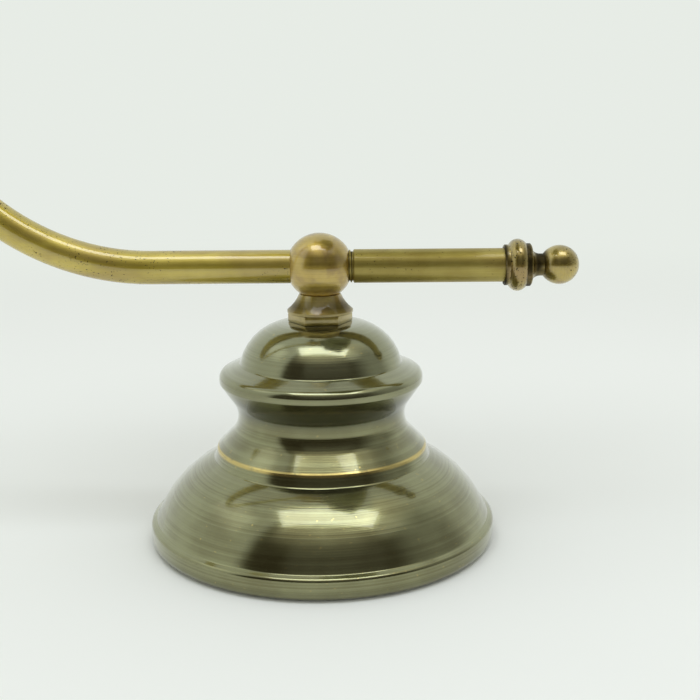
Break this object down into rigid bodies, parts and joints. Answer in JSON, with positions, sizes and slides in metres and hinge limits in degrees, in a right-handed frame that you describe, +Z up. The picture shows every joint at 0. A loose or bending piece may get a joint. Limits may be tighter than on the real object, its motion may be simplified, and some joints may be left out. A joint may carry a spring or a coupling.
{
  "type": "wall lamp",
  "caption": "Brass wall lamp: stepped spun canopy, hexagon neck and ball swivel, swan-neck tube arm with a tail finial, switched lampholder and bell shade.",
  "frame": {"origin": "centre of the canopy's back, on the wall, midway between the bracket's two screw slots", "axes": "the wall is the plane y = 0 and the lamp stands out towards -Y; +Z is up, so the tail finial points to -Z; +X is to the right of someone who faces the wall"},
  "size_m": [0.13, 0.296, 0.2061],
  "materials": {
    "dark_bronze": "chemically darkened spun brass, brushed round the axis, worn to gold on edges",
    "bright_brass": "polished yellow brass tube with small dark pits",
    "aged_brass": "turned brass with a brown patina and fine lathe lines",
    "plain_brass": "plain machined brass",
    "zinc_steel": "zinc-plated steel",
    "porcelain": "glazed white porcelain",
    "bakelite": "moulded dark phenolic plastic",
    "lead_sheath": "round two-core flexible lead"
  },
  "bodies": {
    "wall_mount": {"wall_bracket": "zinc_steel", "stem_nuts": "plain_brass", "lock_washer": "zinc_steel", "earth_screw": "plain_brass", "threaded_stem": "zinc_steel", "canopy": "dark_bronze", "swivel_neck": "aged_brass", "friction_washer": "zinc_steel", "terminal_block": "porcelain", "terminal_tubes": "plain_brass", "terminal_screws": "plain_brass", "block_screws": "zinc_steel", "supply_lead": "lead_sheath"},
    "swivel_arm": {"shade": "dark_bronze", "arm_tube": "bright_brass", "ball_joint": "aged_brass", "tail_tube": "aged_brass", "finial": "aged_brass", "holder_cap": "aged_brass", "holder_sleeve": "aged_brass", "upper_shade_ring": "aged_brass", "lower_shade_ring": "aged_brass", "swivel_stud": "plain_brass", "screw_shell": "plain_brass", "centre_contact": "plain_brass", "stop_pin": "zinc_steel", "grub_screw": "zinc_steel", "insulator": "porcelain", "switch_case": "bakelite", "arm_lead": "lead_sheath"},
    "switch": {"switch_spindle": "zinc_steel", "switch_key": "bakelite"}
  },
  "joints": [
    {"name": "arm_swing", "type": "hinge", "parent": "wall_mount", "child": "swivel_arm", "pos_m": [0, -0.083, 0], "axis": [0, -1, 0], "range_deg": [-165, 165]},
    {"name": "key_turn", "type": "hinge", "parent": "swivel_arm", "child": "switch", "pos_m": [0, -0.231, 0.023], "axis": [1, 0, 0], "range_deg": [0, 90]}
  ]
}
